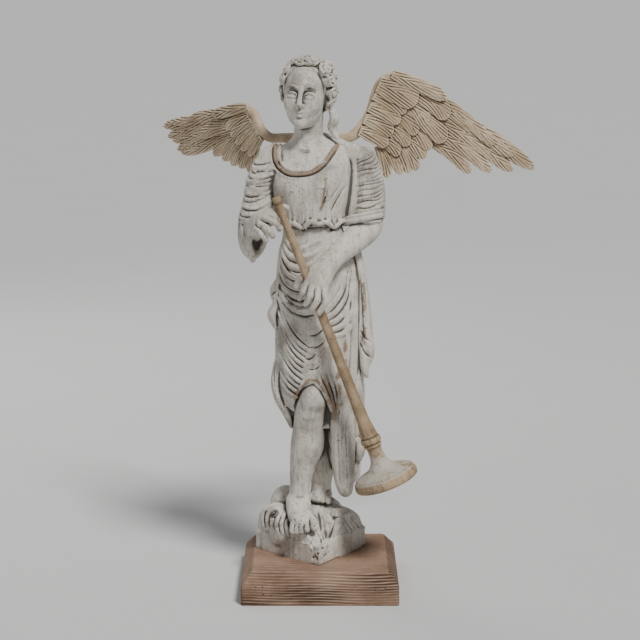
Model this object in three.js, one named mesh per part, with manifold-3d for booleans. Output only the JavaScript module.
// A carved angel with a long straight trumpet, standing on a rock on a weathered pine plinth.
// Millimetres, +Z up. The origin is the middle of the plinth's underside, and the figure looks
// along -Y. "Left" and "right" of the figure's limbs and wings are the figure's own.
import * as THREE from "three";
import { mergeVertices } from "three/addons/utils/BufferGeometryUtils.js";
import Module from "manifold-3d";

const wasm = await Module();
wasm.setup();

// ---- Driving dimensions ------------------------------------------------------------------

const SEAT_GAP = 0.3; // air between two pieces that touch
const PLINTH = { width: 208, depth: 206, edge: 25, height: 40, sideBevel: 14, frontBevel: 20, backBevel: 8 };
const GROUND = PLINTH.height + SEAT_GAP; // underside of the carved rock
const ROCK_WALL = 22; // height of the rock's upright rim
const TORSO_TURN = 15; // degrees that the chest turns towards -X
const HEAD = { at: [-19, 5, 664], turn: 12, tilt: 3, halfWidth: 28, halfDepth: 35, halfHeight: 43 };
const TRUMPET = { end: [-57, -48, 530], mouth: [90, -45, 149] }; // its axis, from mouthpiece to bell
const FEATHER = { thickness: 3.2, layer: 2.2, camber: 10 };
const SCREW = { at: [-62, -6, 97], tilt: [-28, -30], radius: 8, height: 3.4 };
const PEG = { at: [22, 1, 97], tilt: [-22, 8], radius: 7, height: 4 };

// ---- Solids --------------------------------------------------------------------------------

const rad = THREE.MathUtils.degToRad;

/** The closed manifold-3d solid of a three.js geometry. */
function solidOf(geometry) {
  const bare = new THREE.BufferGeometry().setAttribute("position", geometry.getAttribute("position"));
  if (geometry.index) bare.setIndex(geometry.index);
  const merged = mergeVertices(bare, 1e-4);
  return new wasm.Manifold(
    new wasm.Mesh({
      numProp: 3,
      vertProperties: merged.attributes.position.array,
      triVerts: new Uint32Array(merged.index.array),
    }),
  );
}

/** One solid out of many that meet. */
const joined = (solids) => solids.reduce((sum, s) => sum.add(s));

/** A named mesh of a solid. */
function meshOf(solid, name, material) {
  const { vertProperties, triVerts } = solid.getMesh();
  const geometry = new THREE.BufferGeometry()
    .setAttribute("position", new THREE.BufferAttribute(vertProperties, 3))
    .setIndex(new THREE.BufferAttribute(triVerts, 1));
  geometry.computeVertexNormals();
  const mesh = new THREE.Mesh(geometry, material);
  mesh.name = name;
  return mesh;
}

/** The solid where an Object3D puts it. */
function placed(solid, holder) {
  holder.updateMatrixWorld(true);
  return solid.transform(holder.matrixWorld.elements);
}

/** Moves every vertex of a geometry by a function of its place. */
function reshape(geometry, move) {
  const position = geometry.getAttribute("position");
  const v = new THREE.Vector3();
  for (let i = 0; i < position.count; i++) {
    v.fromBufferAttribute(position, i);
    move(v);
    position.setXYZ(i, v.x, v.y, v.z);
  }
  return geometry;
}

/** Values between rows of numbers whose first column is the key. */
function track(rows) {
  const width = rows[0].length - 1;
  const keys = rows.map((r) => r[0]);
  const through = new THREE.CubicInterpolant(keys, rows.flatMap((r) => r.slice(1)), width);
  return (key) => through.evaluate(THREE.MathUtils.clamp(key, keys[0], keys[keys.length - 1]));
}

/** A rounded bar through stations [x, y, z, halfWidth, halfDepth], its width square to `front`. */
function limb(stations, { sides = 8, steps = 2, grow = 0, front = [0, 1, 0] } = {}) {
  const last = stations.length - 1;
  const path = new THREE.CatmullRomCurve3(stations.map((s) => new THREE.Vector3(...s)));
  const girth = track(stations.map((s, i) => [i / last, s[3] + grow, (s[4] ?? s[3]) + grow]));
  const hint = new THREE.Vector3(...front);
  return solidOf(
    reshape(new THREE.CapsuleGeometry(1, 1, sides > 7 ? 2 : 1, sides, steps * last), (v) => {
      const along = THREE.MathUtils.clamp(v.y + 0.5, 0, 1);
      const past = v.y + 0.5 - along;
      const tangent = path.getTangent(along);
      const side = tangent.clone().cross(hint).normalize();
      const face = side.clone().cross(tangent);
      const [wide, deep] = girth(along);
      const { x, z } = v;
      v.copy(path.getPoint(along)).addScaledVector(tangent, past * Math.min(wide, deep));
      v.addScaledVector(side, x * wide).addScaledVector(face, z * deep);
    }),
  );
}

/** A ball pressed to three half axes. */
function lump([x, y, z], [a, b, c], sides = 10) {
  const ball = new THREE.SphereGeometry(1, sides, Math.ceil(sides * 0.6));
  return solidOf(ball.scale(a, b, c).translate(x, y, z));
}

/** A body of level oval sections [z, x, y, halfWidth, halfDepth], swollen by ripple(angle, z). */
function ovalStack(sections, sides, steps, ripple = () => 0) {
  const section = track(sections);
  const low = sections[0][0];
  const span = sections[sections.length - 1][0] - low;
  return solidOf(
    reshape(new THREE.CylinderGeometry(1, 1, 1, sides, steps), (v) => {
      const z = low + (v.y + 0.5) * span;
      const [cx, cy, wide, deep] = section(z);
      const swell = 1 + ripple(Math.atan2(v.x, v.z), z);
      v.set(cx + v.x * wide * swell, cy - v.z * deep * swell, z);
    }),
  );
}

/** A closed outline [[x, z], ...] extruded along Y. */
function slab(outline, fromY, toY) {
  const shape = new THREE.Shape(outline.map(([x, z]) => new THREE.Vector2(x, z)));
  const block = new THREE.ExtrudeGeometry(shape, { depth: toY - fromY, bevelEnabled: false });
  return solidOf(block.rotateX(Math.PI / 2).translate(0, toY, 0));
}

/** A closed outline [[x, y], ...] extruded along Z. */
function prism(outline, fromZ, toZ) {
  const shape = new THREE.Shape(outline.map(([x, y]) => new THREE.Vector2(x, y)));
  const block = new THREE.ExtrudeGeometry(shape, { depth: toZ - fromZ, bevelEnabled: false });
  return solidOf(block.translate(0, 0, fromZ));
}

// ---- Plinth ----------------------------------------------------------------------------------

/** A pine block whose four upper edges are bevelled. */
function plinth() {
  const { width, depth, edge, height, sideBevel, frontBevel, backBevel } = PLINTH;
  const levels = [0, edge, height];
  return solidOf(
    reshape(new THREE.BoxGeometry(1, 1, 1, 1, 1, 2), (v) => {
      const level = Math.round((v.z + 0.5) * 2);
      const inset = level === 2 ? [sideBevel, v.y < 0 ? frontBevel : backBevel] : [0, 0];
      v.set(v.x * (width - 2 * inset[0]), v.y * (depth - 2 * inset[1]), levels[level]);
    }),
  );
}

// ---- Rock ------------------------------------------------------------------------------------

/** The carved ground: a five-sided block with rounded boulders on it, split beside the peg. */
function rock() {
  const footprint = [[-1, -58], [63, 41], [46, 78], [-62, 82], [-87, 26]];
  const block = prism(footprint, GROUND, GROUND + ROCK_WALL);
  const limits = prism(footprint, GROUND, GROUND + 90);
  const boulders = joined([
    lump([-58, 22, 62], [33, 46, 40]),
    lump([24, 22, 60], [38, 42, 38]),
    lump([-20, -4, 55], [30, 46, 32]),
    lump([-46, 48, 98], [22, 20, 24], 10),
    lump([2, 44, 74], [34, 34, 34]),
  ]);
  const split = slab([[13, 70], [16, 70], [24, 95], [20, 95]], -45, 2);
  return block.add(boulders.intersect(limits)).subtract(split);
}

// ---- Legs --------------------------------------------------------------------------------------

/** A bare foot, heel to toes, with five toes across its front. */
function foot(heel, ball, spread, toeCount = 5) {
  const sole = limb([[...heel, 12, 11], [...heel.map((h, i) => (h + ball[i]) / 2), 14, 10], [...ball, spread, 6]], {
    front: [0, 0, 1],
  });
  const run = new THREE.Vector3(...ball).sub(new THREE.Vector3(...heel)).normalize();
  const across = new THREE.Vector3(run.y, -run.x, 0).normalize();
  const toes = [];
  for (let i = 0; i < toeCount; i++) {
    const at = new THREE.Vector3(...ball).addScaledVector(across, (i - 2) * spread * 0.42);
    const length = 9 - 1.2 * i;
    const tip = at.clone().addScaledVector(run, length);
    toes.push(limb([[...at, 4.2 - 0.4 * i], [...tip, 3.6 - 0.3 * i]], { sides: 5, steps: 1, front: [0, 0, 1] }));
  }
  return joined([sole, ...toes]);
}

/** The forward leg bare from the knee, and the rear leg that the cloth mostly hides. */
function legs() {
  const forward = limb([
    [-2, 10, 330, 27, 26],
    [-8, -4, 264, 21, 22],
    [-14, 2, 232, 21, 22],
    [-16, 8, 198, 22.5, 22],
    [-22, 10, 166, 19.5, 19],
    [-28, 12, 136, 14, 15],
    [-29, 12, 108, 13, 15],
  ]);
  const rear = limb([[14, 26, 250, 24], [8, 36, 190, 20], [2, 42, 130, 14]]);
  return joined([
    forward,
    rear,
    foot([-28, 14, 94], [-24, -28, 78], 16),
    foot([2, 44, 112], [-2, 20, 108], 13, 0),
  ]);
}

// ---- Dress -------------------------------------------------------------------------------------

const SKIRT_TOP = 492;
const SKIRT_SECTIONS = [
  [212, 14, 22, 43, 32],
  [235, 8, 19, 51, 36],
  [262, 1, 16, 60, 41],
  [300, 0, 15, 62, 43],
  [330, 1, 14, 63, 44],
  [360, 2, 13, 64, 44],
  [390, 1, 12, 62, 43],
  [420, -2, 12, 58, 41],
  [450, -6, 12, 51, 38],
  [470, -8, 12, 44, 34],
  [SKIRT_TOP, -10, 12, 40, 31],
];

/** The gathered skirt, its folds slanting down from the hip and open in front over the knee. */
function skirt() {
  const folds = (angle, z) => 0.035 * Math.sin(11 * angle - z / 16) * THREE.MathUtils.smoothstep(SKIRT_TOP - z, 10, 60);
  const body = ovalStack(SKIRT_SECTIONS, 36, 10, folds);
  const kneeOpening = slab(
    [[-48, 205], [-37, 218], [-31, 262], [-18, 277], [-8, 281], [2, 272], [11, 258], [17, 238], [14, 205]],
    -60,
    -4,
  );
  return body.subtract(kneeOpening);
}

/** The cloth that hangs behind and beside the legs, ending in a long tongue in front. */
function train() {
  const fall = ovalStack(
    [
      [150, 36, 26, 20, 20],
      [172, 34, 27, 25, 24],
      [200, 32, 27, 30, 27],
      [240, 30, 24, 32, 30],
      [270, 28, 20, 33, 32],
    ],
    14,
    4,
    (angle, z) => 0.05 * Math.sin(9 * angle + z / 30),
  );
  const tongue = limb(
    [
      [34, -2, 272, 12, 14],
      [32, -4, 225, 15, 14],
      [31, -2, 180, 14, 13],
      [32, 2, 150, 12, 11],
      [34, 4, 126, 8, 8],
    ],
    { steps: 2 },
  );
  const sideFlap = limb(
    [
      [54, 12, 424, 8, 16],
      [60, 12, 360, 9, 18],
      [62, 13, 320, 9, 16],
      [60, 13, 288, 7, 12],
    ],
    { sides: 7 },
  );
  const hipKnot = limb([[-57, -2, 410, 6, 9], [-62, 2, 385, 7, 11], [-61, 4, 362, 6, 9]], { sides: 6 });
  const hemRoll = limb([[-55, 14, 292, 8, 12], [-56, 12, 262, 8, 14], [-45, 12, 234, 7, 11], [-37, 14, 216, 5, 8]], {
    sides: 7,
  });
  return joined([fall, tongue, sideFlap, hipKnot, hemRoll]);
}

/** Chest in a fitted bodice with a wavy hem, over the narrower waist. */
function bodice() {
  const hem = (angle, z) => 0.05 * Math.sin(9 * angle) * THREE.MathUtils.smoothstep(508 - z, 0, 18);
  const body = ovalStack(
    [
      [487, -11, 10, 45, 36],
      [500, -12, 11, 46, 36],
      [522, -13, 11, 51, 38],
      [545, -13, 12, 54, 37],
      [565, -12, 13, 54, 33],
      [580, -11, 14, 48, 27],
      [592, -12, 15, 36, 23],
      [602, -14, 15, 22, 20],
    ],
    22,
    8,
    hem,
  );
  const chest = [-1, 1].map((side) => {
    const turned = new THREE.Vector3(20 * side, -20, 0).applyAxisAngle(new THREE.Vector3(0, 0, 1), -rad(TORSO_TURN));
    return lump([-13 + turned.x, 12 + turned.y, 541], [21, 16, 19], 12);
  });
  const shoulder = lump([36, 26, 580], [28, 20, 16]);
  const wingSeats = lump([-4, 32, 586], [40, 16, 24]);
  return joined([body, ...chest, shoulder, wingSeats]);
}

// ---- Head --------------------------------------------------------------------------------------

/** Head and hair in a frame of its own: the face looks along -Y, and the origin is its middle. */
function headAndHair() {
  const { halfWidth: w, halfDepth: d, halfHeight: h } = HEAD;
  const face = joined([
    lump([0, 3, 6], [w, d, h - 8], 12),
    lump([0, -8, -15], [w * 0.84, d * 0.7, h * 0.74], 12),
    limb([[0, -d + 4, 3, 3], [0, -d - 3, -9, 4]], { sides: 6, steps: 1 }),
  ]);
  const curls = [lump([0, 9, 9], [w + 5, d + 1, h - 6], 12)];
  const rows = [
    { count: 7, rise: 34, from: -154, to: 154, size: 10 },
    { count: 6, rise: 17, from: 52, to: 308, size: 10.5 },
    { count: 6, rise: -4, from: 60, to: 300, size: 10.5 },
    { count: 5, rise: -25, from: 85, to: 275, size: 10 },
  ];
  rows.forEach(({ count, rise, from, to, size }) => {
    const ring = Math.sqrt(1 - (rise / (h + 2)) ** 2);
    for (let i = 0; i < count; i++) {
      const a = rad(THREE.MathUtils.lerp(from, to, i / (count - 1)));
      const at = [Math.sin(a) * (w + 2) * ring, 6 - Math.cos(a) * d * ring, rise + 5];
      curls.push(lump(at, [size, size, size * 0.9], 6));
    }
  });
  const besideNeck = limb([[26, 4, -22, 7, 8], [29, 10, -42, 8, 9], [30, 12, -54, 6, 8]], { sides: 8 });
  return joined([face, ...curls, besideNeck]);
}

/** The head set on its neck, turned and tilted. */
function headOnNeck() {
  const frame = new THREE.Object3D();
  frame.position.set(...HEAD.at);
  frame.rotation.set(0, rad(HEAD.tilt), -rad(HEAD.turn));
  const neck = limb([[-15, 17, 592, 22, 21], [-15, 13, 612, 19, 19], [-15, 9, 634, 20, 20]], { steps: 2 });
  return neck.add(placed(headAndHair(), frame));
}

// ---- Arms and hands ----------------------------------------------------------------------------

/** A finger through the given points, thinner towards its tip. */
function finger(points, radius) {
  return limb(points.map((p, i) => [...p, radius * (1 - 0.12 * i)]), { sides: 6, steps: 1, front: [0.3, 1, 0.2] });
}

/** The bent right arm in its wide sleeve, its fingers resting on the trumpet's end. */
function rightArm() {
  const sleeve = limb([
    [-62, 14, 574, 22, 22],
    [-76, 14, 545, 20, 23],
    [-81, 12, 515, 21, 24],
    [-88, 6, 482, 21, 25],
    [-90, 0, 462, 17, 22],
    [-89, 2, 444, 5, 8],
  ]);
  const forearm = limb([[-88, 0, 478, 18, 18], [-82, -18, 486, 15, 16], [-76, -34, 495, 11, 11]], { front: [0, 0, 1] });
  const hand = joined([
    limb([[-78, -30, 494, 10, 9], [-68, -42, 503, 12, 9], [-62, -46, 508, 9, 7]], { front: [0, 0, 1] }),
    finger([[-72, -46, 500], [-62, -56, 497], [-52, -58, 491]], 4.2),
    finger([[-74, -44, 492], [-68, -52, 487], [-62, -54, 483]], 4),
    finger([[-64, -42, 508], [-54, -38, 513], [-44, -38, 515]], 4),
  ]);
  return joined([sleeve, forearm, hand]);
}

/** The left arm, a piece of its own: puffed sleeve, turned cuff, bare forearm and closed hand. */
function leftArm(grow = 0) {
  const sleeve = limb([
    [59, 22, 574, 16, 15],
    [64, 22, 552, 20, 19],
    [67, 21, 525, 20, 20],
    [65, 17, 503, 20, 20],
  ], { grow });
  const cuff = limb([[60, 13, 500, 22, 19], [57, 9, 491, 26, 21]], { steps: 1, sides: 12, grow });
  const forearm = limb([
    [65, 12, 488, 19, 17],
    [48, -6, 472, 19, 17],
    [28, -24, 456, 16, 15],
    [8, -38, 441, 14.5, 12],
  ], { grow });
  const palm = limb([[8, -40, 440, 15, 11], [-3, -49, 424, 19, 10], [-9, -51, 411, 17, 8]], { steps: 1, grow });
  const fingers = [0, 1, 2, 3].map((i) =>
    finger(
      [
        [2 - 8.5 * i, -52, 404 + 0.5 * i],
        [0 - 7.4 * i, -57, 393 + 1.5 * i],
        [-3 - 6.2 * i, -52, 383 + 2.5 * i],
      ],
      4.4 + grow,
    ),
  );
  const thumb = finger([[-18, -46, 420], [-25, -50, 410], [-24, -52, 399]], 5.2 + grow);
  return joined([sleeve, cuff, forearm, palm, ...fingers, thumb]);
}

// ---- Wings ---------------------------------------------------------------------------------------

/** One flat feather from base to tip in the wing's own plane, with a rounded end. */
function feather(base, tip, width, front, grow = 0) {
  const run = new THREE.Vector2(tip[0] - base[0], tip[1] - base[1]);
  const across = new THREE.Vector2(-run.y, run.x).normalize();
  const outline = [];
  const stops = [0, 0.3, 0.72, 0.92, 1];
  const at = (s, side) => {
    const rounding = Math.sqrt(Math.max(0.04, 1 - (Math.max(0, s - 0.7) / 0.3) ** 2));
    const wide = (width / 2 + grow) * Math.min(1, 0.55 + 1.5 * s) * rounding;
    return new THREE.Vector2(...base).addScaledVector(run, s).addScaledVector(across, side * wide);
  };
  stops.forEach((s) => outline.push(at(s, 1)));
  stops.toReversed().slice(1).forEach((s) => outline.push(at(s, -1)));
  const depth = FEATHER.thickness + 2 * grow;
  const blade = new THREE.ExtrudeGeometry(new THREE.Shape(outline.toReversed()), { depth, bevelEnabled: false });
  return blade.translate(0, 0, front - grow);
}

/** A row of overlapping feathers whose bases and tips run between two ends. */
function featherRow({ count, bases, tips, width, layer }) {
  const row = [];
  for (let i = 0; i < count; i++) {
    const t = count === 1 ? 0 : i / (count - 1);
    const mix = (a, b) => [THREE.MathUtils.lerp(a[0], b[0], t), THREE.MathUtils.lerp(a[1], b[1], t)];
    row.push({
      base: mix(...bases),
      tip: mix(...tips),
      width: THREE.MathUtils.lerp(...width, t),
      front: layer * FEATHER.layer + 0.25 * (i % 2),
    });
  }
  return row;
}

// Each wing: where it joins the back, degrees swept back, the arm's stations [out, up, radius],
// and its rows of feathers. The two were carved apart and differ: the right one is held lower.
const LEFT_WING = {
  root: [30, 41, 601],
  sweep: 13,
  arm: [[-10, -4, 8], [12, 0, 8], [28, 13, 9], [40, 32, 9], [48, 56, 10], [58, 71, 11], [80, 76, 10], [106, 67, 8], [128, 50, 5]],
  rows: [
    { count: 2, bases: [[110, 56], [104, 42]], tips: [[210, -12], [265, -48]], width: [24, 28], layer: 0 },
    { count: 4, bases: [[104, 34], [92, 12]], tips: [[239, -54], [172, -50]], width: [24, 20], layer: 0 },
    { count: 5, bases: [[92, 20], [36, -6]], tips: [[120, -28], [58, -60]], width: [22, 18], layer: 0 },
    { count: 2, bases: [[76, 64], [76, 34]], tips: [[148, 38], [143, 6]], width: [34, 30], layer: 1 },
    { count: 3, bases: [[60, 30], [26, -4]], tips: [[114, -2], [62, -36]], width: [26, 20], layer: 1 },
    { count: 4, bases: [[52, 60], [24, 4]], tips: [[100, 44], [54, -14]], width: [28, 22], layer: 2 },
  ],
};
const RIGHT_WING = {
  root: [-34, 40, 601],
  sweep: 45,
  arm: [[-2, -2, 8], [22, -3, 7], [46, -4, 7], [62, 3, 8], [72, 13, 8], [78, 24, 8], [90, 30, 8], [112, 28, 6], [131, 26, 4]],
  rows: [
    { count: 2, bases: [[110, 26], [108, 12]], tips: [[254, 0], [274, -8]], width: [18, 22], layer: 0 },
    { count: 4, bases: [[106, 8], [96, -4]], tips: [[264, -28], [178, -38]], width: [20, 17], layer: 0 },
    { count: 5, bases: [[104, -4], [50, -8]], tips: [[157, -42], [77, -60]], width: [22, 20], layer: 0 },
    { count: 2, bases: [[92, 22], [94, 4]], tips: [[160, 20], [190, -8]], width: [18, 20], layer: 1 },
    { count: 3, bases: [[84, 6], [52, -8]], tips: [[114, -14], [78, -38]], width: [22, 18], layer: 1 },
    { count: 3, bases: [[82, 18], [60, -4]], tips: [[130, 0], [94, -26]], width: [20, 17], layer: 2 },
  ],
};

/** A wing in its own frame: X outwards, Z up, the carved face towards -Y. */
function wing({ arm, rows }, grow = 0) {
  const blades = rows.flatMap(featherRow).map(({ base, tip, width, front }) => feather(base, tip, width, front, grow));
  const bowed = blades.map((blade) =>
    solidOf(reshape(blade, (v) => v.set(v.x, FEATHER.camber * (v.x / 260) ** 2 - 2.5 - v.z, v.y))),
  );
  const bar = limb(arm.map(([out, up, r]) => [out, -1, up, r, Math.min(r, 8)]), { sides: 7, steps: 1, grow });
  return joined([bar, ...bowed]);
}

// ---- Trumpet, screw and peg -------------------------------------------------------------------

const TRUMPET_PROFILE = [
  [0, 4.8], [1, 5.5], [6, 5.5], [9, 5.1], [120, 5.4], [232, 6.7], [289, 7.5], [318, 8.7], [338, 11.5],
  [341, 13.2], [345, 13.8], [349, 12.2], [351, 11.4], [353, 11.9], [357, 9.8], [367, 9.9],
  [377, 12.5], [383, 17.5], [388, 28], [392, 37.5], [396, 42], [401, 43], [406, 42],
];
const BELL_HOLLOW = [[406, 38], [400, 33], [395, 20], [391, 0]];

/** The turned trumpet along +Y from its mouthpiece, its bell dished. */
function trumpet(grow = 0) {
  const outside = TRUMPET_PROFILE.map(([s, r]) => new THREE.Vector2(r + grow, s));
  const inside = grow ? [] : BELL_HOLLOW.map(([s, r]) => new THREE.Vector2(r, s));
  const ends = [new THREE.Vector2(0, -grow), ...outside, ...(grow ? [new THREE.Vector2(0, 406 + grow)] : inside)];
  return solidOf(new THREE.LatheGeometry(ends, 16));
}

/** A dome-headed screw, its head sunk into the rock. */
function screw(grow = 0) {
  const { radius: r, height: h } = SCREW;
  const profile = [[0, -4 - grow], [r * 0.6 + grow, -4 - grow], [r + grow, 0], [r * 0.86 + grow, h * 0.7], [0, h + grow]];
  return solidOf(new THREE.LatheGeometry(profile.map(([x, y]) => new THREE.Vector2(x, y)), 16).rotateX(Math.PI / 2));
}

/** A square whittled peg with a blunt four-sided point, driven into the rock. */
function peg(grow = 0) {
  const { radius: r, height: h } = PEG;
  const profile = [[0, -6 - grow], [r * 0.9 + grow, -6 - grow], [r + grow, h * 0.4], [0, h + grow]];
  return solidOf(new THREE.LatheGeometry(profile.map(([x, y]) => new THREE.Vector2(x, y)), 4).rotateX(Math.PI / 2));
}

// ---- Assembly ------------------------------------------------------------------------------------

const paint = new THREE.MeshStandardMaterial({ color: 0xb7b1a6, roughness: 0.85, metalness: 0 });
const wingWood = new THREE.MeshStandardMaterial({ color: 0xb59c7d, roughness: 0.8, metalness: 0 });
const trumpetWood = new THREE.MeshStandardMaterial({ color: 0xb89c74, roughness: 0.6, metalness: 0 });
const pine = new THREE.MeshStandardMaterial({ color: 0x8d6a50, roughness: 0.85, metalness: 0 });
const iron = new THREE.MeshStandardMaterial({ color: 0x3d3833, roughness: 0.5, metalness: 0.8 });

/** An Object3D at a place, leaning by degrees about X and Y. */
function seat({ at, tilt }) {
  const holder = new THREE.Object3D();
  holder.position.set(...at);
  holder.rotation.set(rad(-tilt[0]), rad(tilt[1]), 0);
  return holder;
}

/** The Object3D that swings a wing back from its root; side is 1 for +X and -1 for -X. */
function wingSeat({ root, sweep }, side) {
  const holder = new THREE.Object3D();
  holder.position.set(...root);
  holder.rotation.z = side * rad(sweep);
  return holder;
}

const axis = new THREE.Vector3(...TRUMPET.mouth).sub(new THREE.Vector3(...TRUMPET.end)).normalize();
const trumpetSeat = new THREE.Object3D();
trumpetSeat.position.set(...TRUMPET.end);
trumpetSeat.quaternion.setFromUnitVectors(new THREE.Vector3(0, 1, 0), axis);

const leftWingSeat = wingSeat(LEFT_WING, 1);
const rightWingSeat = wingSeat(RIGHT_WING, -1);
const screwSeat = seat(SCREW);
const pegSeat = seat(PEG);
const mirrored = (solid) => solid.mirror([1, 0, 0]);

const trumpetRoom = placed(trumpet(SEAT_GAP), trumpetSeat);
const armSolid = leftArm().subtract(trumpetRoom);
const armRoom = leftArm(SEAT_GAP);
const wingRooms = [
  placed(wing(LEFT_WING, SEAT_GAP), leftWingSeat),
  placed(mirrored(wing(RIGHT_WING, SEAT_GAP)), rightWingSeat),
];
const rooms = joined([trumpetRoom, ...wingRooms, placed(screw(SEAT_GAP), screwSeat), placed(peg(SEAT_GAP), pegSeat)]);
const figureSolid = joined([rock(), legs(), skirt(), train(), bodice(), headOnNeck(), rightArm()])
  .subtract(rooms)
  .subtract(armRoom);

const angel = new THREE.Group();
angel.name = "angel_statue";
angel.add(meshOf(plinth(), "plinth", pine));
angel.add(meshOf(figureSolid, "figure", paint));
angel.add(meshOf(armSolid, "left_arm", paint));

/** Puts a solid's mesh into a holder, and the holder into the statue. */
function mount(holder, solid, name, material) {
  holder.add(meshOf(solid, name, material));
  angel.add(holder);
}

mount(leftWingSeat, wing(LEFT_WING), "left_wing", wingWood);
mount(rightWingSeat, mirrored(wing(RIGHT_WING)), "right_wing", wingWood);
mount(trumpetSeat, trumpet(), "trumpet", trumpetWood);
mount(screwSeat, screw(), "screw", iron);
mount(pegSeat, peg(), "peg", paint);

export default angel;
